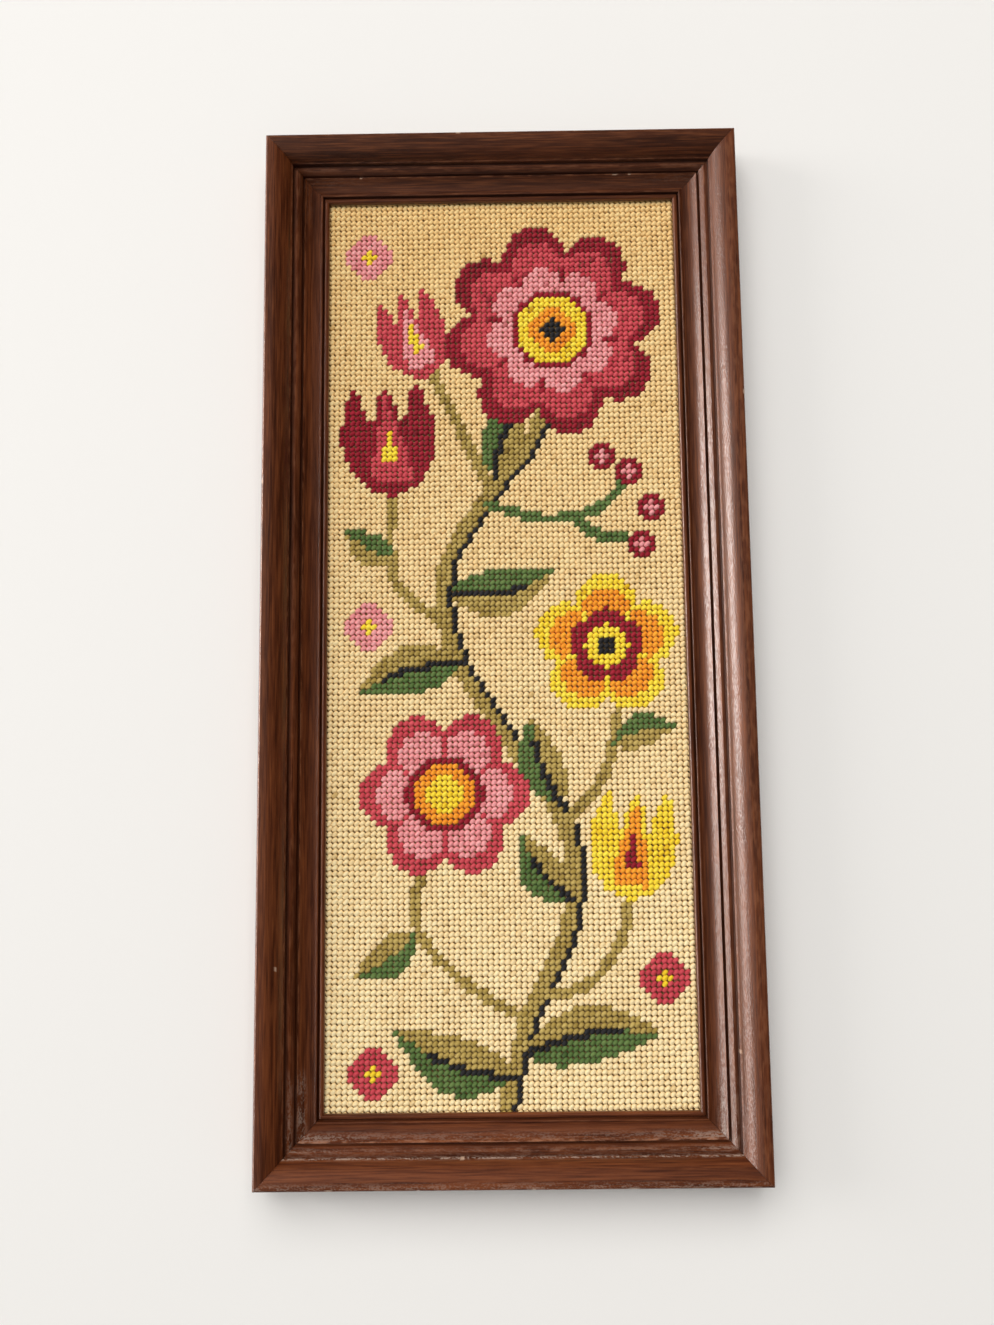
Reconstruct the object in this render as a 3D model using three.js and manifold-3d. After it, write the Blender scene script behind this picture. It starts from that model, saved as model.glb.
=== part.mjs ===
// Needlepoint canvas panel in a moulded wooden frame, lying on its back.
// Millimetres. +Z comes out of the stitched face, +Y points to the top of the picture, and the
// origin is the middle of the frame's back.
import * as THREE from 'three';
import { mergeVertices } from 'three/addons/utils/BufferGeometryUtils.js';
import Module from 'manifold-3d';

const wasm = await Module();
wasm.setup();

// Stitched field that shows inside the frame, in stitches of a canvas with 10 meshes to the inch
const stitchPitch = 2.54;
const stitchColumns = 66;
const stitchRows = 169;

// Frame: each rail is one length of moulding with a rabbet along the inner edge of its back
const railWidth = 29.2;
const railDepth = 23.4;
const rabbetWidth = 7;
const rabbetDepth = 9;
const outerEdgeRadius = 1.2;
const mitreGap = 0.3;

// Canvas: the worked field runs on a stitch past the sight edge, and a bare margin runs on from it
const canvasGap = 0.3;
const workedThickness = 3;
const hiddenStitches = 1;
const marginThickness = 1.2;
const marginBelowFace = 1;

// Steps in each round stretch of the moulding
const curveSteps = 7;

// Moulding face, from the sight edge outwards. Each row ends one member at so many millimetres
// across the rail and above its back. A round member bends towards the point in its last two
// columns, and a straight one has none.
const mouldingMembers = [
  { name: 'inner side of the sight bead', across: 0, height: 9.9 },
  { name: 'inner half of the sight bead', across: 1.2, height: 11.3, bendAcross: 0.1, bendHeight: 11.3 },
  { name: 'outer half of the sight bead', across: 2.3, height: 10.5, bendAcross: 2.1, bendHeight: 11.3 },
  { name: 'inner groove', across: 2.9, height: 10.1, bendAcross: 2.6, bendHeight: 9.8 },
  { name: 'riser of the inner groove', across: 3.1, height: 11.8 },
  { name: 'inner arris', across: 3.85, height: 11.85 },
  { name: 'step behind the inner arris', across: 4.1, height: 11.4 },
  { name: 'floor of the cove', across: 5.4, height: 11.3 },
  { name: 'cove', across: 11.5, height: 14.2, bendAcross: 8.9, bendHeight: 11.2 },
  { name: 'inner side of the deep groove', across: 11.9, height: 12.3 },
  { name: 'floor of the deep groove', across: 12.6, height: 12.3 },
  { name: 'outer side of the deep groove', across: 12.8, height: 13.7 },
  { name: 'chamfer', across: 15, height: 15.4 },
  { name: 'fillet', across: 16.8, height: 15.1 },
  { name: 'riser of the fillet', across: 17, height: 16.5 },
  { name: 'arris of the outer member', across: 17.6, height: 17.3, bendAcross: 17, bendHeight: 17.2 },
  { name: 'swell of the outer member', across: 23.6, height: 22.7, bendAcross: 19.6, bendHeight: 21.2 },
  { name: 'shoulder', across: 25.2, height: 23.2, bendAcross: 24.6, bendHeight: 23.1 },
  { name: 'crown', across: 28, height: 23.4 },
];

const sightWidth = stitchColumns * stitchPitch;
const sightLength = stitchRows * stitchPitch;

const woodMaterial = new THREE.MeshStandardMaterial({ color: 0x5a3222, roughness: 0.4, metalness: 0 });
const woolMaterial = new THREE.MeshStandardMaterial({ color: 0xdcc394, roughness: 0.95, metalness: 0 });

// Section of a rail: x runs across it from the sight edge, and y up from its back.
function railSection() {
  const section = new THREE.Shape();
  section.moveTo(rabbetWidth, 0);
  section.lineTo(railWidth, 0);
  section.lineTo(railWidth, railDepth - outerEdgeRadius);
  section.absarc(railWidth - outerEdgeRadius, railDepth - outerEdgeRadius, outerEdgeRadius, 0, Math.PI / 2);
  for (let i = mouldingMembers.length - 1; i > 0; i--) {
    const member = mouldingMembers[i];
    const end = mouldingMembers[i - 1];
    if (member.bendAcross === undefined) {
      section.lineTo(end.across, end.height);
    } else {
      section.quadraticCurveTo(member.bendAcross, member.bendHeight, end.across, end.height);
    }
  }
  section.lineTo(0, rabbetDepth);
  section.lineTo(rabbetWidth, rabbetDepth);
  section.closePath();
  return section;
}

// A rail's own frame has X along it, Y outwards from the sight edge and Z up from its back. Each
// end is mitred at 45 degrees, so a point further out lies further along.
function railGeometry(sightSide) {
  const geometry = new THREE.ExtrudeGeometry(railSection(), {
    depth: 1,
    steps: 1,
    curveSegments: curveSteps,
    bevelEnabled: false,
  });
  const points = geometry.attributes.position;
  const cutBack = mitreGap / Math.SQRT2;
  for (let i = 0; i < points.count; i++) {
    const outwards = points.getX(i);
    const up = points.getY(i);
    const end = points.getZ(i) > 0.5 ? 1 : -1;
    points.setXYZ(i, end * (sightSide / 2 + outwards - cutBack), outwards, up);
  }
  geometry.computeVertexNormals();
  return geometry;
}

function addRail(group, name, sightSide, x, y, turn) {
  const rail = new THREE.Mesh(railGeometry(sightSide), woodMaterial);
  rail.name = name;
  rail.position.set(x, y, 0);
  rail.rotation.z = turn;
  group.add(rail);
}

// The four mitred rails, set round the sight opening
function makeFrame() {
  const frame = new THREE.Group();
  addRail(frame, 'rail_top', sightWidth, 0, sightLength / 2, 0);
  addRail(frame, 'rail_bottom', sightWidth, 0, -sightLength / 2, Math.PI);
  addRail(frame, 'rail_left', sightLength, -sightWidth / 2, 0, Math.PI / 2);
  addRail(frame, 'rail_right', sightLength, sightWidth / 2, 0, -Math.PI / 2);
  return frame;
}

// A slab of cloth centred on the picture, from its upper face down
function slab(width, length, thickness, upperFace) {
  const box = new THREE.BoxGeometry(width, length, thickness);
  box.translate(0, 0, upperFace - thickness / 2);
  return box;
}

function toSolid(geometry) {
  for (const attribute of ['normal', 'uv']) {
    geometry.deleteAttribute(attribute);
  }
  const merged = mergeVertices(geometry);
  return new wasm.Manifold(
    new wasm.Mesh({
      numProp: 3,
      vertProperties: new Float32Array(merged.attributes.position.array),
      triVerts: new Uint32Array(merged.index.array),
    }),
  );
}

function toGeometry(solid) {
  const mesh = solid.getMesh();
  const geometry = new THREE.BufferGeometry();
  geometry.setAttribute('position', new THREE.BufferAttribute(mesh.vertProperties, 3));
  geometry.setIndex(new THREE.BufferAttribute(mesh.triVerts, 1));
  return geometry.toNonIndexed();
}

// The canvas is one sheet: the field worked in wool is full thickness, and the bare canvas round
// it, hidden in the rabbet, is thinner.
function makeCanvas() {
  const workedFace = rabbetDepth - canvasGap;
  const underLip = rabbetWidth - canvasGap;
  const worked = slab(
    sightWidth + 2 * hiddenStitches * stitchPitch,
    sightLength + 2 * hiddenStitches * stitchPitch,
    workedThickness,
    workedFace,
  );
  const margin = slab(
    sightWidth + 2 * underLip,
    sightLength + 2 * underLip,
    marginThickness,
    workedFace - marginBelowFace,
  );
  const geometry = toGeometry(toSolid(worked).add(toSolid(margin)));
  geometry.computeVertexNormals();
  const canvas = new THREE.Mesh(geometry, woolMaterial);
  canvas.name = 'canvas_panel';
  return canvas;
}

const panel = new THREE.Group();
panel.add(makeFrame());
panel.add(makeCanvas());

export default panel;
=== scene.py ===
import math

import bmesh
import bpy
import numpy as np
from mathutils import Matrix, Vector


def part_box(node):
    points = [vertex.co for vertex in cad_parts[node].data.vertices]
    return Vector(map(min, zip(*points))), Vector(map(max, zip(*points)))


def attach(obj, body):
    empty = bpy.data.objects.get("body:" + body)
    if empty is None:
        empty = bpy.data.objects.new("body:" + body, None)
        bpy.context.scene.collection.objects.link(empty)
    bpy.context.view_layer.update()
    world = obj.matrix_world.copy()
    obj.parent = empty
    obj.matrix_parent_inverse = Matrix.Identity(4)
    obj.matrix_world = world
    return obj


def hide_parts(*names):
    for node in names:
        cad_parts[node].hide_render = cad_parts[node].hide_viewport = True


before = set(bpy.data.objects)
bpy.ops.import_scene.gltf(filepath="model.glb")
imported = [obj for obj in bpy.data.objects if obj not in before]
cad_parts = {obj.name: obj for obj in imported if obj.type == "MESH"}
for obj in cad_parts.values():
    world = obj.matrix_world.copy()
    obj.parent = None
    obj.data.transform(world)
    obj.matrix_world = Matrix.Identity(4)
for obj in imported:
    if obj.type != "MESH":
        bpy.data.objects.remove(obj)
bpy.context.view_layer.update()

# Bare canvas: one sheet of stiff cotton mesh with ten single threads to the inch each way, stretched
# flat behind the lip of the frame. Its margin round the wool shows only from the back.
stitch_pitch = 0.00254
canvas_thickness = 0.0006
canvas_middle = 0.0073
canvas_segment = 0.0127
canvas_low, canvas_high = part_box("canvas_panel")
canvas_width = canvas_high[0] - canvas_low[0]
canvas_length = canvas_high[1] - canvas_low[1]
wave_turn = 20  # a wave texture turns through this many radians to the unit at a scale of one


def new_material(name):
    """A material, its shader, a function that adds a node with its inputs set, and one that links."""
    material = bpy.data.materials.new(name)
    material.use_nodes = True
    tree = material.node_tree

    def add(kind, **inputs):
        made = tree.nodes.new("ShaderNode" + kind)
        for socket, value in inputs.items():
            made.inputs[socket.replace("_", " ")].default_value = value
        return made

    return material, tree.nodes["Principled BSDF"], add, tree.links.new


def add_piece(name, mesh, material):
    """Puts a finished mesh in the scene as a piece that rides on the one body."""
    piece = bpy.data.objects.new(name, mesh)
    bpy.context.scene.collection.objects.link(piece)
    mesh.materials.append(material)
    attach(piece, "root")
    return piece


def bare_cotton():
    """Tan threads that cross under the middle of each stitch, with painted shade for the dark hole at its
    ends.
    """
    material, shader, add, link = new_material("bare cotton mesh")
    place = add("TexCoord")
    weave = add("Math")
    weave.operation = "MAXIMUM"
    for socket, (direction, shift) in enumerate((("X", 0.0), ("Y", math.pi))):
        thread = add("TexWave", Scale=2 * math.pi / (wave_turn * stitch_pitch), Phase_Offset=shift)
        thread.bands_direction = direction
        link(place.outputs["Object"], thread.inputs["Vector"])
        link(thread.outputs["Fac"], weave.inputs[socket])
    tone = add("ValToRGB")
    hole, thread_top = tone.color_ramp.elements
    # The hole tone is painted shade: the sheet is solid, and the dark stands for the gaps in the mesh.
    hole.position, hole.color = 0.35, (0.09, 0.05, 0.014, 1)
    thread_top.position, thread_top.color = 0.6, (0.45, 0.31, 0.15, 1)
    link(weave.outputs["Value"], tone.inputs["Fac"])
    link(tone.outputs["Color"], shader.inputs["Base Color"])
    relief = add("Bump", Strength=0.7, Distance=0.0004)
    link(weave.outputs["Value"], relief.inputs["Height"])
    link(relief.outputs["Normal"], shader.inputs["Normal"])
    shader.inputs["Roughness"].default_value = 0.9
    shader.inputs["Specular IOR Level"].default_value = 0.2
    return material


cloth = bmesh.new()
bmesh.ops.create_grid(
    cloth,
    x_segments=round(canvas_width / canvas_segment),
    y_segments=round(canvas_length / canvas_segment),
    size=0.5,
)
bmesh.ops.scale(cloth, vec=(canvas_width, canvas_length, 1), verts=cloth.verts)
bmesh.ops.translate(cloth, vec=(0, 0, canvas_middle), verts=cloth.verts)
cloth_mesh = bpy.data.meshes.new("canvas_sheet")
cloth.to_mesh(cloth_mesh)
cloth.free()
canvas = add_piece("canvas_sheet", cloth_mesh, bare_cotton())
thickness = canvas.modifiers.new("thickness", "SOLIDIFY")
thickness.thickness = canvas_thickness
thickness.offset = 0
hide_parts("canvas_panel")

# Chart of the design, one square to a stitch: a vine that winds up the panel, with flowers, tulips,
# leaves and berries on side stems. Places and sizes are in stitches from the lower left corner.
stitch_columns, stitch_rows = 66, 169
hidden_stitches = 1
row_of, column_of = np.mgrid[
    -hidden_stitches : stitch_rows + hidden_stitches,
    -hidden_stitches : stitch_columns + hidden_stitches,
].astype(float)
chart = np.full(row_of.shape, "ecru", dtype=object)


def chart_stem(bends, width, yarn):
    """A smooth line of stitches through a few bends."""
    steps_between_bends = 24
    for i in range(len(bends) - 1):
        before, start, end, after = (
            np.array(bends[min(max(k, 0), len(bends) - 1)], float) for k in range(i - 1, i + 3)
        )
        for t in np.linspace(0, 1, steps_between_bends):
            x, y = 0.5 * (
                2 * start
                + (end - before) * t
                + (2 * before - 5 * start + 4 * end - after) * t**2
                + (3 * start - before - 3 * end + after) * t**3
            )
            chart[np.hypot(column_of - x, row_of - y) <= width / 2] = yarn


def seen_along(x, y, angle):
    """How far each stitch lies along and beside a line that leaves a place at an angle."""
    turn = math.radians(angle)
    right, up = column_of - x, row_of - y
    return right * math.cos(turn) + up * math.sin(turn), up * math.cos(turn) - right * math.sin(turn)


def chart_leaf(x, y, length, width, angle, bend, upper, lower, rib):
    """A pointed leaf from its foot, with a yarn on either side of its rib."""
    towards_foot, fullness = 0.8, 0.9
    rib_share, rib_half_width = 0.72, 0.6
    along, beside = seen_along(x, y, angle)
    t = along / length
    within = np.clip(t, 0, 1)
    beside = beside - bend * np.sin(np.pi * within)
    half = width / 2 * np.sin(np.pi * within**towards_foot) ** fullness
    inside = (t >= 0) & (t <= 1) & (np.abs(beside) <= half)
    chart[inside & (beside >= 0)] = upper
    chart[inside & (beside < 0)] = lower
    if rib:
        chart[(t >= 0) & (t <= rib_share) & (np.abs(beside) <= rib_half_width)] = rib


def chart_flower(x, y, radius, petals, turn, depth, rings, parting):
    """A flower seen from the front, ring by ring, with a line of yarn between its petals."""
    petal_bluntness = 0.75
    away = np.hypot(column_of - x, row_of - y)
    angle = np.arctan2(row_of - y, column_of - x) - math.radians(turn)
    lobe = np.abs(np.cos(petals * angle / 2))
    for share, lobed, yarn in rings:
        inside = away <= radius * share * (1 - depth * lobed * (1 - lobe**petal_bluntness))
        chart[inside] = yarn
        if yarn == parting["on"]:
            chart[inside & (lobe * away < parting["width"])] = parting["yarn"]


def chart_tulip(x, y, height, width, angle, cup, heart, flame):
    """A tulip seen from the side, open at its top, from the foot of its cup."""
    fullest, petals, rim_dip, rim_bluntness = 0.55, 3, 0.38, 1.2
    heart_foot, heart_tip, heart_taper, heart_side = 0.12, 0.92, 1.5, 0.4
    flame_foot, flame_tip, flame_taper = 0.3, 0.7, 2.2
    along, beside = seen_along(x, y, angle)
    t, side = along / height, np.abs(beside / (width / 2))
    swell = np.sqrt(np.clip(1 - (1 - np.clip(t, 0, fullest) / fullest) ** 2, 0, 1))
    rim = 1 - rim_dip + rim_dip * np.abs(np.cos(petals / 2 * np.pi * side)) ** rim_bluntness
    chart[(t >= 0) & (side <= swell) & (t <= rim)] = cup
    chart[(t >= heart_foot) & (t <= heart_tip - heart_taper * side) & (side < heart_side)] = heart
    chart[(t >= flame_foot) & (t <= flame_tip - flame_taper * side)] = flame


def chart_berry(x, y, radius, yarn, spot):
    """A round berry with a light spot."""
    spot_share = 0.4
    away = np.hypot(column_of - x, row_of - y)
    chart[away <= radius] = yarn
    chart[away <= radius * spot_share] = spot


def chart_posy(x, y, petal, heart):
    """A small flower of four round petals."""
    petal_away, petal_radius, heart_radius = 2.5, 2.3, 1.2
    for right, up in ((1, 0), (-1, 0), (0, 1), (0, -1)):
        away = np.hypot(column_of - x - petal_away * right, row_of - y - petal_away * up)
        chart[away <= petal_radius] = petal
    chart[np.hypot(column_of - x, row_of - y) <= heart_radius] = heart


# The vine, with a black line that shows on its right side
vine_width = 2.6
lower_vine = [(31, -3), (35, 14), (43, 32), (43, 48), (33, 64)]
upper_vine = [(23, 80), (21, 96), (29, 110), (38, 122), (42, 138)]
vine = lower_vine + upper_vine
chart_stem([(x + 1, y) for x, y in vine], vine_width, "black")
chart_stem(vine, vine_width, "olive")

side_stems = {
    "to the pink flower": ([(36, 15), (25, 21), (16, 31), (17, 44)], "olive"),
    "to the yellow flower": ([(43, 50), (50, 58), (53, 70)], "olive"),
    "to the dark tulip": ([(22, 86), (13, 93), (11, 102), (12, 112)], "olive"),
    "to the yellow tulip": ([(37, 19), (46, 21), (52, 28), (54, 36)], "olive"),
    "to the pink tulip": ([(30, 112), (25, 122), (19, 135)], "olive"),
    "to the berries": ([(29, 109), (40, 106), (50, 108), (55, 113)], "green"),
    "to the low berry": ([(44, 107), (50, 103), (56, 102)], "green"),
}
side_stem_width = 1.9
for bends, yarn in side_stems.values():
    chart_stem(bends, side_stem_width, yarn)

# Leaves: foot across and up, length, width, angle, bend, upper yarn, lower yarn, rib
leaves = [
    (33, 5, 23, 10, 158, 2, "green", "olive", "black"),
    (35, 9, 25, 10, 8, 2, "olive", "green", "black"),
    (44, 36, 15, 8, 128, 1.5, "green", "olive", "black"),
    (42, 53, 17, 8, 108, 1, "green", "olive", "black"),
    (24, 79, 20, 9, 196, -1.5, "green", "olive", "black"),
    (22, 92, 20, 9, 12, -2, "green", "olive", "black"),
    (31, 114, 16, 8, 66, 2, "green", "olive", "black"),
    (15, 30, 13, 7, 215, 1, "green", "olive", None),
    (52, 64, 12, 6, 14, 1, "green", "olive", None),
    (12, 99, 11, 6, 150, 1, "olive", "green", None),
]
for leaf in leaves:
    chart_leaf(*leaf)

# Flowers: how large a share of the radius each ring takes, how lobed it is, and its yarn
red_rings = [(1, 1, "burgundy"), (0.85, 1, "rose"), (0.6, 0.9, "pink"), (0.38, 0.2, "burgundy")]
red_heart = [(0.32, 0, "yellow"), (0.2, 0, "orange"), (0.1, 0, "black")]
red_parting = {"on": "rose", "width": 1.2, "yarn": "burgundy"}
red_shape = {"radius": 21, "petals": 8, "turn": 12, "depth": 0.24}
chart_flower(x=42, y=143, **red_shape, rings=red_rings + red_heart, parting=red_parting)

pink_rings = [(1, 1, "rose"), (0.8, 1, "pink")]
pink_heart = [(0.46, 0.3, "burgundy"), (0.36, 0, "orange"), (0.22, 0, "yellow")]
pink_parting = {"on": "pink", "width": 1.0, "yarn": "rose"}
pink_shape = {"radius": 15.5, "petals": 6, "turn": 0, "depth": 0.27}
chart_flower(x=21, y=55, **pink_shape, rings=pink_rings + pink_heart, parting=pink_parting)

gold_rings = [(1, 1, "yellow"), (0.8, 1, "orange"), (0.52, 0.6, "burgundy")]
gold_heart = [(0.3, 0, "yellow"), (0.14, 0, "black")]
gold_parting = {"on": "orange", "width": 0.9, "yarn": "yellow"}
gold_shape = {"radius": 13.5, "petals": 5, "turn": 90, "depth": 0.3}
chart_flower(x=51, y=82, **gold_shape, rings=gold_rings + gold_heart, parting=gold_parting)

# Tulips: foot across and up, height, width, angle, and the yarns of the cup, the heart and the flame
tulips = [
    (12, 111, 21, 18, 96, "burgundy", "rose", "yellow"),
    (54, 36, 19, 16, 84, "yellow", "orange", "burgundy"),
    (18, 134, 17, 13, 108, "rose", "pink", "yellow"),
]
for tulip in tulips:
    chart_tulip(*tulip)

# Berries and posies: middle across and up, and a posy's yarn
berries = [(56, 115), (60, 108), (51, 118), (58, 101)]
berry_radius = 2.5
for berry_across, berry_up in berries:
    chart_berry(berry_across, berry_up, berry_radius, yarn="burgundy", spot="pink")
posies = [(7, 86, "pink"), (8, 6, "rose"), (60, 22, "rose"), (7, 158, "pink")]
for posy_across, posy_up, petal in posies:
    chart_posy(posy_across, posy_up, petal, heart="yellow")

# Wool: plump stitches of tapestry yarn, each over one crossing of the canvas from its lower left hole
# to its upper right one. The same yarn runs on at the back in longer slanting stitches.
face_stitch = {"length": 0.00318, "width": 0.00244, "rise": 0.0012, "around": 8, "along": 6}
back_stitch = {"length": 0.0057, "width": 0.0016, "rise": 0.00095, "around": 6, "along": 4}
blunt_ends = 3.2  # two would be an ellipse
stitch_tip = 0.999  # share of a stitch's half length past which it isn't made blunter
stitch_crease = math.radians(65)
sunk_in = 0.00005
face_slant = math.radians(46)
back_slant = math.atan2(1, 2)
canvas_face = canvas_middle + canvas_thickness / 2
canvas_back = canvas_middle - canvas_thickness / 2
hand = np.random.default_rng(seed=66)

# How far single stitches stray, in radians, in shares of their own size and in metres, and how much a
# stitch's shade varies. The canvas is pulled out of true in slow waves of so many radians to the metre.
stray = {"turn": 0.1, "length": 0.04, "width": 0.05, "rise": 0.02, "place": 0.00007}
lowest_rise, highest_rise = 0.95, 1.03
yarn_map_unit, yarn_map_reach = 0.002, 40
# shade_at_canvas: the share of its tone a stitch keeps at the canvas, the rest being painted shade
usual_shade, shade_spread, shade_at_canvas = 0.6, 0.12, 0.25
pulled_across = {"by": 0.00016, "waves": 41, "start": 1}
pulled_up = {"by": 0.00018, "waves": 63, "start": 2}


def stitch_shape(size, turned):
    """The points and faces of one stitch along X, domed above the canvas and flat beneath."""
    shape = bmesh.new()
    bmesh.ops.create_uvsphere(shape, u_segments=size["around"], v_segments=size["along"], radius=1)
    bmesh.ops.rotate(shape, verts=shape.verts, matrix=Matrix.Rotation(math.pi / 2, 3, "Y"))
    for vert in shape.verts:
        along = min(abs(vert.co.x), 1)
        if along < stitch_tip:
            fuller = (1 - along**blunt_ends) ** (1 / blunt_ends) / math.sqrt(1 - along**2)
            vert.co.y *= fuller
            vert.co.z *= fuller
    under = [f for f in shape.faces if f.calc_center_median().z < 0]
    bmesh.ops.delete(shape, geom=under, context="FACES")
    bmesh.ops.contextual_create(shape, geom=[e for e in shape.edges if e.is_boundary])
    bmesh.ops.scale(shape, vec=(size["length"] / 2, size["width"] / 2, size["rise"]), verts=shape.verts)
    if turned:
        bmesh.ops.rotate(shape, verts=shape.verts, matrix=Matrix.Rotation(math.pi, 3, "X"))
    bmesh.ops.recalc_face_normals(shape, faces=shape.faces)
    shape.verts.index_update()
    points = np.array([v.co[:] for v in shape.verts])
    faces = [[v.index for v in f.verts] for f in shape.faces]
    shape.free()
    return {"points": points, "faces": faces, "raised": np.abs(points[:, 2]) / size["rise"]}


def lay_stitches(shape, x, y, z, slant, first_point=0):
    """Points, face corners, face sizes, yarn map and tone of one stitch at each place, with painted shade
    near the canvas.
    """
    count = len(x)
    turn = slant + hand.normal(0, stray["turn"], count)
    longer, wider, higher = (hand.normal(1, stray[way], count) for way in ("length", "width", "rise"))
    shape_x = shape["points"][:, 0] * longer[:, None]
    shape_y = shape["points"][:, 1] * wider[:, None]
    cos, sin = np.cos(turn)[:, None], np.sin(turn)[:, None]
    points = np.stack(
        [
            x[:, None] + shape_x * cos - shape_y * sin,
            y[:, None] + shape_x * sin + shape_y * cos,
            z + shape["points"][:, 2] * np.clip(higher, lowest_rise, highest_rise)[:, None],
        ],
        axis=-1,
    )
    corners = np.concatenate([np.array(f) for f in shape["faces"]])
    first = first_point + np.arange(count)[:, None] * len(shape["points"])
    along = shape["points"][:, 0] / yarn_map_unit + hand.uniform(0, yarn_map_reach, count)[:, None]
    around = shape["points"][:, 1] / yarn_map_unit + hand.uniform(0, yarn_map_reach, count)[:, None]
    yarn_map = np.stack([along, around], axis=-1)[:, corners]
    shade = np.clip(hand.normal(usual_shade, shade_spread, count), 0, 1)[:, None]
    # Painted shade: each stitch darkens towards the canvas, where it meets its neighbours.
    shade = shade * (shade_at_canvas + (1 - shade_at_canvas) * shape["raised"])
    return (
        points.reshape(-1, 3),
        (first + corners).ravel(),
        np.tile([len(f) for f in shape["faces"]], count),
        yarn_map.reshape(-1, 2),
        shade.ravel(),
    )


def wool_mesh(name, worked):
    """One mesh of the face and back stitches where worked is true."""
    row, column = np.nonzero(worked)
    x = (column - hidden_stitches + 0.5 - stitch_columns / 2) * stitch_pitch
    y = (row - hidden_stitches + 0.5 - stitch_rows / 2) * stitch_pitch
    pull_x = pulled_across["by"] * np.sin(y * pulled_across["waves"] + pulled_across["start"])
    pull_y = pulled_up["by"] * np.sin(x * pulled_up["waves"] + pulled_up["start"])
    x = x + pull_x + hand.normal(0, stray["place"], len(x))
    y = y + pull_y + hand.normal(0, stray["place"], len(y))
    back_x = x - stitch_pitch / 2
    face_part = lay_stitches(face_shape, x, y, canvas_face - sunk_in, face_slant)
    face_points = len(face_part[0])
    back_part = lay_stitches(back_shape, back_x, y, canvas_back + sunk_in, back_slant, face_points)
    both_sides = zip(face_part, back_part)
    points, corners, sizes, yarn_map, shade = (np.concatenate(parts) for parts in both_sides)
    mesh = bpy.data.meshes.new(name)
    mesh.vertices.add(len(points))
    mesh.vertices.foreach_set("co", points.astype(np.float32).ravel())
    mesh.loops.add(len(corners))
    mesh.loops.foreach_set("vertex_index", corners.astype(np.int32))
    mesh.polygons.add(len(sizes))
    mesh.polygons.foreach_set("loop_start", (np.cumsum(sizes) - sizes).astype(np.int32))
    mesh.update(calc_edges=True)
    mesh.uv_layers.new(name="yarn").uv.foreach_set("vector", yarn_map.astype(np.float32).ravel())
    mesh.attributes.new("shade", "FLOAT", "POINT").data.foreach_set("value", shade.astype(np.float32))
    mesh.set_sharp_from_angle(angle=stitch_crease)
    return mesh


def blend(add, link, factor, under, over, how="MIX"):
    """A colour from a node with a plain tone laid over it, as thickly as the factor says."""
    under_socket, over_socket, result_socket = 6, 7, 2  # a Mix node's colours come after its numbers
    mix = add("Mix")
    mix.data_type = "RGBA"
    mix.blend_type = how
    link(factor, mix.inputs["Factor"])
    link(under, mix.inputs[under_socket])
    mix.inputs[over_socket].default_value = (*over, 1)
    return mix.outputs[result_socket]


def tapestry_wool(yarn, deep, dark, light, golden):
    """Matt wool with painted shade, deepest between the stitches, a little different in each, more golden
    near the top.
    """
    patch_share = 0.5
    material, shader, add, link = new_material("tapestry wool " + yarn)
    place = add("TexCoord")
    shade = add("Attribute")
    shade.attribute_name = "shade"
    patches = add("TexNoise", Scale=45, Detail=3)
    link(place.outputs["Object"], patches.inputs["Vector"])
    level = add("Math")
    level.operation = "MULTIPLY_ADD"
    level.inputs[1].default_value = patch_share
    link(patches.outputs["Fac"], level.inputs[0])
    link(shade.outputs["Fac"], level.inputs[2])
    # The deep tone is painted shade, where the shade attribute is lowest at the foot of each stitch.
    tone = add("ValToRGB")
    lowest, highest = tone.color_ramp.elements
    lowest.position, lowest.color = 0.33, (*deep, 1)
    highest.position, highest.color = 0.98, (*light, 1)
    tone.color_ramp.elements.new(0.56).color = (*dark, 1)
    link(level.outputs["Value"], tone.inputs["Fac"])
    colour = tone.outputs["Color"]
    if golden:
        height = add("SeparateXYZ")
        link(place.outputs["Object"], height.inputs["Vector"])
        towards_top = add("MapRange", From_Min=-0.15, From_Max=0.23, To_Max=1)
        link(height.outputs["Y"], towards_top.inputs["Value"])
        colour = blend(add, link, towards_top.outputs["Result"], colour, golden, how="MULTIPLY")
    link(colour, shader.inputs["Base Color"])
    yarn_map = add("UVMap")
    yarn_map.uv_map = "yarn"
    plies = add("TexWave", Scale=0.55, Distortion=1.5, Detail=2)
    plies.bands_direction = "DIAGONAL"
    fibres = add("TexNoise", Scale=7, Detail=4)
    rough = add("Math")
    rough.operation = "ADD"
    for socket, texture in enumerate((plies, fibres)):
        link(yarn_map.outputs["UV"], texture.inputs["Vector"])
        link(texture.outputs["Fac"], rough.inputs[socket])
    relief = add("Bump", Strength=0.5, Distance=0.0002)
    link(rough.outputs["Value"], relief.inputs["Height"])
    link(relief.outputs["Normal"], shader.inputs["Normal"])
    shader.inputs["Roughness"].default_value = 0.85
    shader.inputs["Specular IOR Level"].default_value = 0.25
    shader.inputs["Sheen Weight"].default_value = 0.1
    return material


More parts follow.
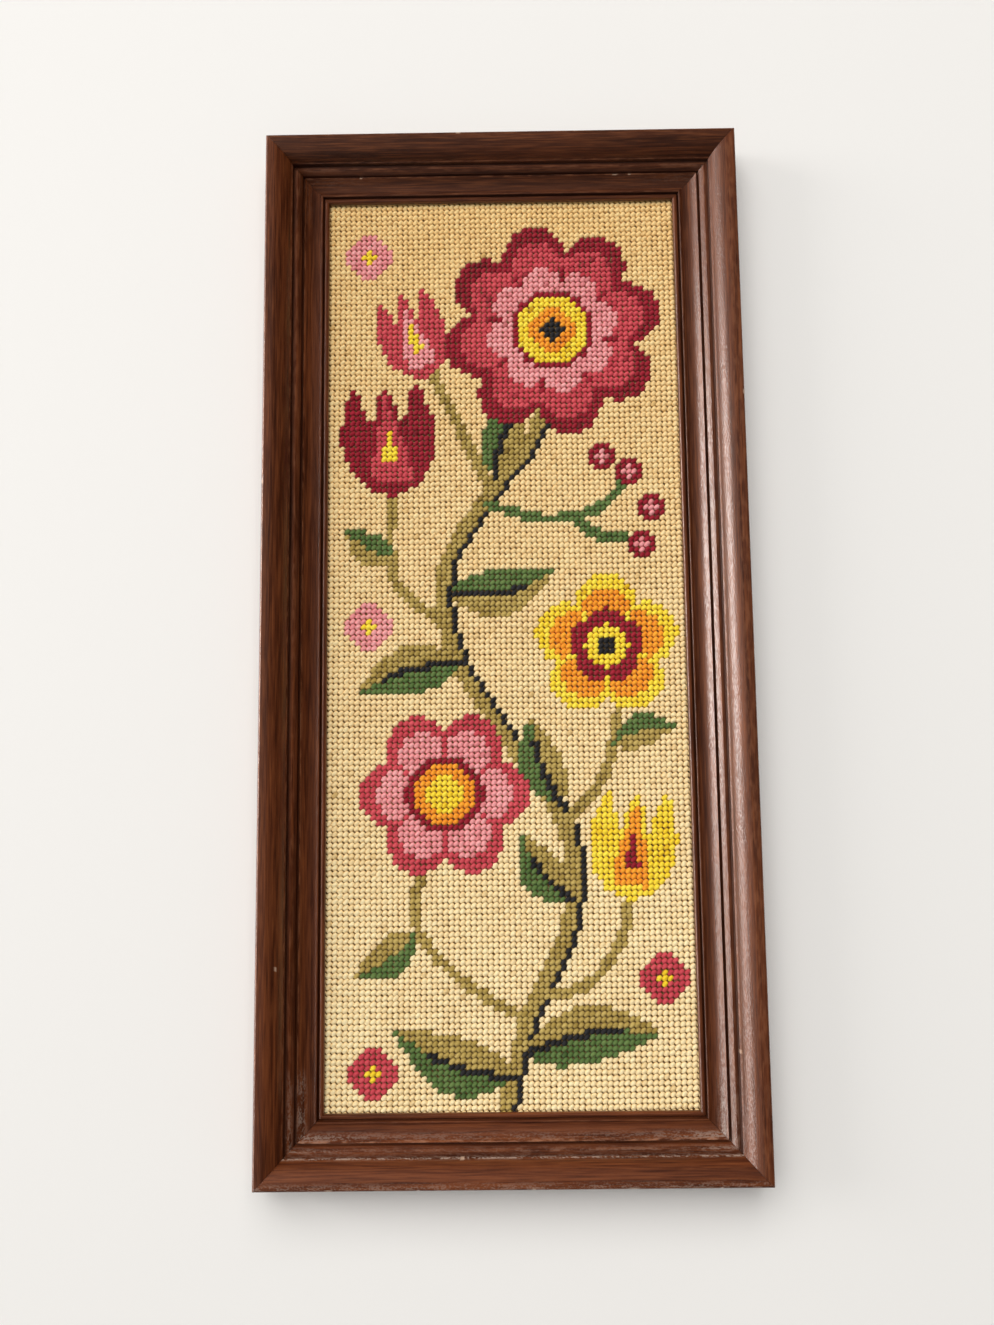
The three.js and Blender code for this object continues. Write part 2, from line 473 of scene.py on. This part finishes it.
face_shape = stitch_shape(face_stitch, turned=False)
back_shape = stitch_shape(back_stitch, turned=True)
# Each yarn's deep tone is painted shade between the stitches; dark and light are the yarn's own.
yarns = {
    "ecru": {"deep": (0.68, 0.48, 0.2), "dark": (0.95, 0.73, 0.39), "light": (1.0, 0.84, 0.5)},
    "burgundy": {"deep": (0.08, 0.0015, 0.004), "dark": (0.26, 0.006, 0.016), "light": (0.37, 0.012, 0.03)},
    "rose": {"deep": (0.2, 0.01, 0.015), "dark": (0.54, 0.045, 0.065), "light": (0.7, 0.09, 0.11)},
    "pink": {"deep": (0.4, 0.08, 0.08), "dark": (0.82, 0.27, 0.28), "light": (0.93, 0.42, 0.42)},
    "yellow": {"deep": (0.5, 0.24, 0.004), "dark": (0.95, 0.66, 0.02), "light": (1.0, 0.82, 0.07)},
    "orange": {"deep": (0.45, 0.09, 0.003), "dark": (0.9, 0.29, 0.012), "light": (1.0, 0.42, 0.03)},
    "green": {"deep": (0.02, 0.04, 0.008), "dark": (0.075, 0.14, 0.03), "light": (0.14, 0.22, 0.06)},
    "olive": {"deep": (0.15, 0.085, 0.012), "dark": (0.38, 0.26, 0.055), "light": (0.56, 0.41, 0.12)},
    "black": {"deep": (0.003, 0.003, 0.003), "dark": (0.009, 0.009, 0.01), "light": (0.022, 0.02, 0.022)},
}
golden_top = (0.92, 0.79, 0.59)
ecru_bands = ["_low", "_middle", "_high"]  # the ecru ground is three pieces, each of a size to handle
for yarn, tones in yarns.items():
    worked = chart == yarn
    material = tapestry_wool(yarn, **tones, golden=golden_top if yarn == "ecru" else None)
    if yarn == "ecru":
        bands = len(ecru_bands)
        band_of = np.floor(bands * row_of / stitch_rows).clip(0, bands - 1)
        parts = {name: band_of == band for band, name in enumerate(ecru_bands)}
    else:
        parts = {"": worked}
    for part, where in parts.items():
        name = "wool_" + yarn + part
        add_piece(name, wool_mesh(name, worked & where), material)

# Frame rails: four lengths of one hardwood moulding, mitred and glued at the corners, stained dark
# reddish brown and rubbed to a satin. They have small knocks, worn arrises, and dust in the low cove,
# with painted shade in the grooves and painted highlights on the low and right rails.
rail_width = 0.0292
rail_depth = 0.0234
rabbet_width = 0.007
rabbet_depth = 0.009
outer_edge_radius = 0.0012
edge_wear_reach = 0.0035
mitre_gap = 0.00012
arris_radius = 0.00015
sharp_turn = math.radians(25)
rail_crease = math.radians(40)
doubled_within = 0.00001  # points nearer than this are one
rail_segment = 0.005
curve_steps = 9
sight_width = stitch_columns * stitch_pitch
sight_length = stitch_rows * stitch_pitch

# Where each member of the moulding ends, across the rail from its sight edge and above its back, in
# millimetres, and the point that a round member bends towards.
moulding_members = [
    {"name": "inner side of the sight bead", "end": (0, 9.9)},
    {"name": "inner half of the sight bead", "end": (1.2, 11.3), "bend": (0.1, 11.3)},
    {"name": "outer half of the sight bead", "end": (2.3, 10.5), "bend": (2.1, 11.3)},
    {"name": "inner groove", "end": (2.9, 10.1), "bend": (2.6, 9.8)},
    {"name": "riser of the inner groove", "end": (3.1, 11.8)},
    {"name": "inner arris", "end": (3.85, 11.85)},
    {"name": "step behind the inner arris", "end": (4.1, 11.4)},
    {"name": "floor of the cove", "end": (5.4, 11.3)},
    {"name": "cove", "end": (11.5, 14.2), "bend": (8.9, 11.2)},
    {"name": "inner side of the deep groove", "end": (11.9, 12.3)},
    {"name": "floor of the deep groove", "end": (12.6, 12.3)},
    {"name": "outer side of the deep groove", "end": (12.8, 13.7)},
    {"name": "chamfer", "end": (15, 15.4)},
    {"name": "fillet", "end": (16.8, 15.1)},
    {"name": "riser of the fillet", "end": (17, 16.5)},
    {"name": "arris of the outer member", "end": (17.6, 17.3), "bend": (17, 17.2)},
    {"name": "swell of the outer member", "end": (23.6, 22.7), "bend": (19.6, 21.2)},
    {"name": "shoulder", "end": (25.2, 23.2), "bend": (24.6, 23.1)},
    {"name": "crown", "end": (28, 23.4)},
]

# Small knocks in the rails, in millimetres. Along is from the middle of the rail, to the right as seen
# from inside the frame, and across from the sight edge. Each fades out over a share of its length.
knock_half_width = 0.4
knock_fade = 0.4
knock_cuts = (-0.5, -0.2, 0.1, 0.5)
knocks = [
    {"rail": "rail_top", "along": 56, "across": 11.4, "length": 3.5, "depth": 0.35},
    {"rail": "rail_top", "along": 63, "across": 11.6, "length": 2, "depth": 0.3},
    {"rail": "rail_top", "along": -68, "across": 11.5, "length": 2, "depth": 0.3},
    {"rail": "rail_top", "along": -20, "across": 28.6, "length": 3, "depth": 0.3},
    {"rail": "rail_bottom", "along": 80, "across": 28.7, "length": 4, "depth": 0.4},
    {"rail": "rail_bottom", "along": 41, "across": 28.9, "length": 2, "depth": 0.3},
    {"rail": "rail_bottom", "along": -9, "across": 28.8, "length": 2.5, "depth": 0.3},
    {"rail": "rail_bottom", "along": -52, "across": 28.8, "length": 6, "depth": 0.4},
    {"rail": "rail_bottom", "along": -90, "across": 28.9, "length": 2, "depth": 0.3},
    {"rail": "rail_bottom", "along": 22, "across": 17.3, "length": 2.5, "depth": 0.25},
    {"rail": "rail_left", "along": 72, "across": 28.7, "length": 3, "depth": 0.35},
    {"rail": "rail_left", "along": -150, "across": 20.4, "length": 2.5, "depth": 0.3},
    {"rail": "rail_right", "along": -112, "across": 28.7, "length": 3, "depth": 0.35},
    {"rail": "rail_right", "along": 188, "across": 17.4, "length": 2.5, "depth": 0.25},
]


def moulding_outline():
    """The section of a rail as (across, height) in metres, once round."""
    outline = [(rabbet_width, 0.0), (rabbet_width, rabbet_depth), (0.0, rabbet_depth)]
    start = outline[-1]
    for member in moulding_members:
        end = tuple(value / 1000 for value in member["end"])
        if "bend" in member:
            bend = tuple(value / 1000 for value in member["bend"])
            for step in range(1, curve_steps):
                t = step / curve_steps
                outline.append(
                    tuple(
                        a * (1 - t) ** 2 + 2 * b * t * (1 - t) + c * t**2
                        for a, b, c in zip(start, bend, end)
                    )
                )
        outline.append(end)
        start = end
    for step in range(1, curve_steps + 1):
        angle = math.pi / 2 * (1 - step / curve_steps)
        outline.append(
            (
                rail_width - outer_edge_radius + outer_edge_radius * math.cos(angle),
                rail_depth - outer_edge_radius + outer_edge_radius * math.sin(angle),
            )
        )
    outline.append((rail_width, rail_depth - edge_wear_reach))
    outline.append((rail_width, 0.0))
    return outline


def all_of(shape):
    """Every point, edge and face of a shape."""
    return shape.verts[:] + shape.edges[:] + shape.faces[:]


def cut_across(shape, x):
    """Parts a rail's faces square across it, so that it can be dented there."""
    bmesh.ops.bisect_plane(shape, geom=all_of(shape), plane_co=(x, 0, 0), plane_no=(1, 0, 0))


def rail_mesh(node, sight_side, turn, move):
    """A mitred length of moulding, made along X with its knocks, then turned to its side."""
    half = sight_side / 2
    reach = half + rail_width + rail_segment
    shape = bmesh.new()
    section = shape.faces.new([shape.verts.new((-reach, y, z)) for y, z in moulding_outline()])
    drawn = bmesh.ops.extrude_face_region(shape, geom=[section])["geom"]
    far_end = [v for v in drawn if isinstance(v, bmesh.types.BMVert)]
    bmesh.ops.translate(shape, vec=(2 * reach, 0, 0), verts=far_end)
    bmesh.ops.recalc_face_normals(shape, faces=shape.faces)
    arrises = [
        e
        for e in shape.edges
        if abs(e.verts[0].co.x - e.verts[1].co.x) > reach and e.calc_face_angle(0) > sharp_turn
    ]
    bmesh.ops.bevel(
        shape, geom=arrises, offset=arris_radius, segments=2, profile=0.5, affect="EDGES", material=-1
    )
    bmesh.ops.remove_doubles(shape, verts=shape.verts, dist=doubled_within)
    steps = round(2 * reach / rail_segment)
    for step in range(1, steps):
        cut_across(shape, -reach + 2 * reach * step / steps)
    bare = shape.verts.layers.float.new("bare")
    for knock in knocks:
        if knock["rail"] == node:
            along, across = knock["along"] / 1000, knock["across"] / 1000
            length, depth = knock["length"] / 1000, knock["depth"] / 1000
            for share in knock_cuts:
                cut_across(shape, along + share * length)
            for vert in shape.verts:
                away = abs(vert.co.x - along) / (knock_fade * length)
                beside = abs(vert.co.y - across) / (knock_half_width / 1000)
                if away < 1 and beside < 1 and vert.co.z > rabbet_depth:
                    vert.co.z -= depth * (1 - away**2) * (1 - beside**2)
                    vert[bare] = 1.0
    for end in (-1, 1):
        cut = bmesh.ops.bisect_plane(
            shape,
            geom=all_of(shape),
            plane_co=(end * (half - mitre_gap / math.sqrt(2)), 0, 0),
            plane_no=(end, -1, 0),
            clear_outer=True,
        )["geom_cut"]
        bmesh.ops.contextual_create(shape, geom=[e for e in cut if isinstance(e, bmesh.types.BMEdge)])
    bmesh.ops.remove_doubles(shape, verts=shape.verts, dist=doubled_within)
    place = Matrix.Translation(move) @ Matrix.Rotation(turn, 4, "Z")
    bmesh.ops.transform(shape, matrix=place, verts=shape.verts)
    bmesh.ops.recalc_face_normals(shape, faces=shape.faces)
    mesh = bpy.data.meshes.new("frame_" + node)
    shape.to_mesh(mesh)
    shape.free()
    mesh.shade_smooth()
    mesh.set_sharp_from_angle(angle=rail_crease)
    return mesh


# Where on the moulding wear, grime and dust lie, in millimetres from the sight edge, how far each
# spreads, and how strong it is; the grime lines also hold painted shade. Dust lies all along the low
# rail and in the corners of the others. How far marks reach from a corner, in from the low rail and
# down the outer side is in millimetres too.
worn_lines = {
    "inner arris": (3.5, 0.35, 0.35),
    "edge of the cove": (11.4, 0.35, 0.6),
    "edge of the chamfer": (15, 0.3, 0.3),
    "arris": (17.3, 0.45, 0.4),
    "outer edge": (28.9, 0.8, 0.4),
}
grimy_and_shaded_lines = {
    "inner groove": (2.7, 0.5, 1.0),
    "deep groove": (12.3, 0.6, 1.0),
    "fillet": (16.6, 0.6, 1.0),
    "foot of the cove": (6, 2.2, 0.4),
}
dusty_lines = {"cove": (9.8, 1.7, 0.9), "chamfer": (14.6, 0.6, 0.8)}
# Painted highlights: the low rail's rim of the cove and the right rail's crown take the wear tone.
own_marks = {
    "rail_bottom": {
        "worn_and_lit": {"rim of the cove": (11.2, 0.5, 1.2)},
        "dusty": {"arris": (17.25, 0.35, 1.3), "outer edge": (28, 1.5, 0.55)},
    },
    "rail_right": {"worn_and_lit": {"crown": (26.4, 1.7, 0.45)}},
}
# The low rail, whose grooves face the light, gets half the grime and painted shade.
grime_and_shade_share = {"rail_bottom": 0.5}
dust_along_low_rail, dust_in_high_corners = 0.35, 0.12
corner_reach = 22
low_rail_reach = 20
outer_side_reach = 2


def mark_age_and_light(mesh, node):
    """How worn, grimy and dusty each point of a rail is by where it lies on the moulding, with painted
    shade and highlights.
    """
    points = np.empty(len(mesh.vertices) * 3)
    mesh.vertices.foreach_get("co", points)
    points = points.reshape(-1, 3)
    beyond_x = np.abs(points[:, 0]) - sight_width / 2
    beyond_y = np.abs(points[:, 1]) - sight_length / 2
    across = 1000 * np.maximum(beyond_x, beyond_y)
    from_corner = 1000 * np.abs(beyond_x - beyond_y)
    below_crown = 1000 * (rail_depth - points[:, 2])
    on_outer_side = across > 1000 * (rail_width - arris_radius)
    fading = np.exp(-((below_crown / outer_side_reach) ** 2))
    seen = np.where(on_outer_side, fading, points[:, 2] > rabbet_depth)

    def near(lines):
        bands = [most * np.exp(-(((across - where) / spread) ** 2)) for where, spread, most in lines]
        return np.max(bands, axis=0)

    low = points[:, 1] < -sight_length / 2 + low_rail_reach / 1000
    corner = np.exp(-((from_corner / corner_reach) ** 2))
    dust_low = dust_along_low_rail + (1 - dust_along_low_rail) * corner
    marks = {
        "worn_and_lit": near(worn_lines.values()),
        "grimy_and_shaded": near(grimy_and_shaded_lines.values()) * grime_and_shade_share.get(node, 1),
        "dusty": near(dusty_lines.values()) * np.where(low, dust_low, dust_in_high_corners * corner),
    }
    for name, lines in own_marks.get(node, {}).items():
        marks[name] = np.maximum(marks[name], near(lines.values()))
    for name, value in marks.items():
        values = (value * seen).astype(np.float32)
        mesh.attributes.new(name, "FLOAT", "POINT").data.foreach_set("value", values)


# Tones of the plain stain from the darkest grain to the lightest, and of what lies in it and on it; the
# grime tone also paints shade and the wear tone also paints highlights. Then how thickly grime and
# dust cover it, and how much rougher dust makes it.
stain_tones = {
    "darkest": (0.052, 0.0105, 0.0024),
    "middle": (0.084, 0.0185, 0.0044),
    "lightest": (0.135, 0.034, 0.009),
}
wood_marks = {
    "light streak": (0.27, 0.078, 0.02),
    "dark streak": (0.018, 0.0036, 0.0013),
    "worn_and_lit": (0.31, 0.115, 0.05),
    "grime_and_shade": (0.018, 0.0036, 0.0011),
    "dust": (0.42, 0.33, 0.27),
    "bare": (0.45, 0.3, 0.21),
}
grime_and_shade_cover, dust_cover, dust_roughness = 0.8, 0.55, 0.3


def stained_wood(name, grain, painted_light_level):
    """Dark stained hardwood whose grain runs along one axis, marked with wear, grime and dust, and with
    painted light and shade.
    """
    material, shader, add, link = new_material(name)
    place = add("TexCoord")

    def grained(along, across, detail, distortion=0.0):
        scale = [across, across, across]
        scale["XY".index(grain)] = along
        stretched = add("Mapping", Scale=scale)
        link(place.outputs["Object"], stretched.inputs["Vector"])
        noise = add("TexNoise", Scale=1, Detail=detail, Distortion=distortion)
        link(stretched.outputs["Vector"], noise.inputs["Vector"])
        return noise.outputs["Fac"]

    def spread(value, low, high, to_low=0.0, to_high=1.0):
        ranged = add("MapRange", From_Min=low, From_Max=high, To_Min=to_low, To_Max=to_high)
        link(value, ranged.inputs["Value"])
        return ranged.outputs["Result"]

    def maths(operation, first, second):
        result = add("Math")
        result.operation = operation
        for socket, value in enumerate((first, second)):
            if isinstance(value, float):
                result.inputs[socket].default_value = value
            else:
                link(value, result.inputs[socket])
        return result.outputs["Value"]

    def relief(height, strength, depth):
        bump = add("Bump", Strength=strength, Distance=depth)
        link(height, bump.inputs["Height"])
        return bump.outputs["Normal"]

    def marked(name):
        mark = add("Attribute")
        mark.attribute_name = name
        return mark.outputs["Fac"]

    tone = add("ValToRGB")
    darkest, lightest = tone.color_ramp.elements
    tones = {key: (*(painted_light_level * part for part in rgb), 1) for key, rgb in stain_tones.items()}
    darkest.position, darkest.color = 0.32, tones["darkest"]
    lightest.position, lightest.color = 0.7, tones["lightest"]
    tone.color_ramp.elements.new(0.5).color = tones["middle"]
    link(grained(along=12, across=420, detail=4, distortion=0.4), tone.inputs["Fac"])
    patchy = add("VectorMath")
    patchy.operation = "SCALE"
    link(tone.outputs["Color"], patchy.inputs["Vector"])
    patches = grained(along=9, across=60, detail=2)
    link(spread(patches, low=0.3, high=0.7, to_low=0.82, to_high=1.2), patchy.inputs["Scale"])
    colour = patchy.outputs["Vector"]

    def laid(factor, mark):
        return blend(add, link, factor, colour, wood_marks[mark])

    streaks = grained(along=55, across=1500, detail=3, distortion=0.2)
    colour = laid(spread(streaks, low=0.48, high=0.72, to_high=0.4), "light streak")
    colour = laid(spread(streaks, low=0.3, high=0.46, to_low=0.6, to_high=0.0), "dark streak")
    specks = grained(along=900, across=1800, detail=2)
    pores = grained(along=650, across=1400, detail=2)

    rubbed = grained(along=160, across=700, detail=4)
    # Wear, with painted highlights on the low rail's cove rim and the right rail's crown.
    rubbed_and_lit = maths("MULTIPLY", marked("worn_and_lit"), spread(rubbed, low=0.46, high=0.62))
    colour = laid(rubbed_and_lit, "worn_and_lit")
    # Grime with painted shade in the grooves, the fillet and the foot of the cove.
    colour = laid(maths("MULTIPLY", marked("grimy_and_shaded"), grime_and_shade_cover), "grime_and_shade")
    scattered = maths("ADD", specks, spread(rubbed, low=0.35, high=0.65, to_low=-0.12, to_high=0.12))
    settled = maths("MULTIPLY", marked("dusty"), spread(scattered, low=0.46, high=0.6))
    colour = laid(maths("MULTIPLY", settled, dust_cover), "dust")
    colour = laid(marked("bare"), "bare")
    link(colour, shader.inputs["Base Color"])

    satin = spread(specks, low=0.3, high=0.7, to_low=0.42, to_high=0.6)
    dulled = maths("ADD", satin, maths("MULTIPLY", settled, dust_roughness))
    link(dulled, shader.inputs["Roughness"])
    fine_grain = maths("ADD", streaks, specks)
    link(relief(fine_grain, strength=0.4, depth=0.00012), shader.inputs["Normal"])
    link(relief(pores, strength=0.8, depth=0.0002), shader.inputs["Coat Normal"])
    link(spread(pores, low=0.4, high=0.58, to_low=0.12, to_high=0.62), shader.inputs["Coat Weight"])
    shader.inputs["Specular IOR Level"].default_value = 0.65
    shader.inputs["Specular Tint"].default_value = (1, 0.62, 0.5, 1)
    shader.inputs["Coat Roughness"].default_value = 0.12
    return material


# Painted light and shade: the top rail's stain is darker as a whole, the low rail's lighter.
woods = {
    "rail_top": stained_wood("stained wood of the top rail", "X", painted_light_level=0.66),
    "rail_bottom": stained_wood("stained wood of the bottom rail", "X", painted_light_level=1.18),
    "rail_side": stained_wood("stained wood of the side rails", "Y", painted_light_level=0.95),
}
rails = {
    "rail_top": {"sight": sight_width, "turn": 0, "move": (0, sight_length / 2, 0)},
    "rail_bottom": {"sight": sight_width, "turn": math.pi, "move": (0, -sight_length / 2, 0)},
    "rail_left": {"sight": sight_length, "turn": math.pi / 2, "move": (-sight_width / 2, 0, 0)},
    "rail_right": {"sight": sight_length, "turn": -math.pi / 2, "move": (sight_width / 2, 0, 0)},
}
for node, rail in rails.items():
    mesh = rail_mesh(node, rail["sight"], rail["turn"], rail["move"])
    mark_age_and_light(mesh, node)
    piece = add_piece("frame_" + node, mesh, woods.get(node, woods["rail_side"]))
    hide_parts(node)

# Floor: a plain pale surface that the frame lies on.
floor_size = 12
floor_shape = bmesh.new()
bmesh.ops.create_grid(floor_shape, x_segments=1, y_segments=1, size=floor_size / 2)
floor_mesh = bpy.data.meshes.new("floor")
floor_shape.to_mesh(floor_mesh)
floor_shape.free()
floor_paint, floor_shader = new_material("pale floor")[:2]
floor_shader.inputs["Base Color"].default_value = (0.92, 0.91, 0.89, 1)
floor_shader.inputs["Roughness"].default_value = 0.8
floor_mesh.materials.append(floor_paint)
floor = bpy.data.objects.new("floor", floor_mesh)
bpy.context.scene.collection.objects.link(floor)

# Light: a window low on the left and a broad soft light beyond the top, in a dim room. The glare in the
# moulding comes from lights of its own: the window, the bright wall round it, and the ceiling.
light_colour = (1, 0.98, 0.955)
lights = {
    "window": {"at": (-5.6, 1.2, 2.1), "size": (2.4, 2.6), "power": 105, "glare": False},
    "broad light": {"at": (-0.8, 3, 5.2), "size": (6, 6), "power": 350, "glare": False},
    "window glare": {"at": (-2.74, 0.55, 1.05), "size": (1.2, 1.0), "power": 64, "glare": True},
    "wall glare": {"at": (-5.6, 0.2, 2.1), "size": (5.6, 4.2), "power": 600, "glare": True},
    "ceiling glare": {"at": (0, 0, 5), "size": (6, 6), "power": 5, "glare": True},
}
for name, lamp in lights.items():
    data = bpy.data.lights.new(name, "AREA")
    data.shape = "RECTANGLE"
    data.size, data.size_y = lamp["size"]
    data.energy = lamp["power"]
    data.color = light_colour
    light = bpy.data.objects.new(name, data)
    light.location = lamp["at"]
    light.rotation_euler = (-Vector(lamp["at"])).to_track_quat("-Z", "Y").to_euler()
    light.visible_diffuse = not lamp["glare"]
    light.visible_glossy = lamp["glare"]
    bpy.context.scene.collection.objects.link(light)
world = bpy.data.worlds.new("room")
world.use_nodes = True
world.node_tree.nodes["Background"].inputs["Color"].default_value = (1, 0.985, 0.965, 1)
world.node_tree.nodes["Background"].inputs["Strength"].default_value = 0.24
world.cycles_visibility.glossy = False
bpy.context.scene.world = world
bpy.context.scene.view_settings.view_transform = "Standard"

# Camera: the photograph's angle to the stitched face, from a little below the middle of the picture.
stitched_face = canvas_high[2]
camera_data = bpy.data.cameras.new("camera")
camera_data.sensor_width = 36
camera_data.lens = 31.25
camera = bpy.data.objects.new("camera", camera_data)
camera.location = (-0.00057, -0.07746, stitched_face + 0.53412)
camera.rotation_euler = [math.radians(angle) for angle in (6.917, 0.494, -0.655)]
bpy.context.scene.collection.objects.link(camera)
bpy.context.scene.camera = camera
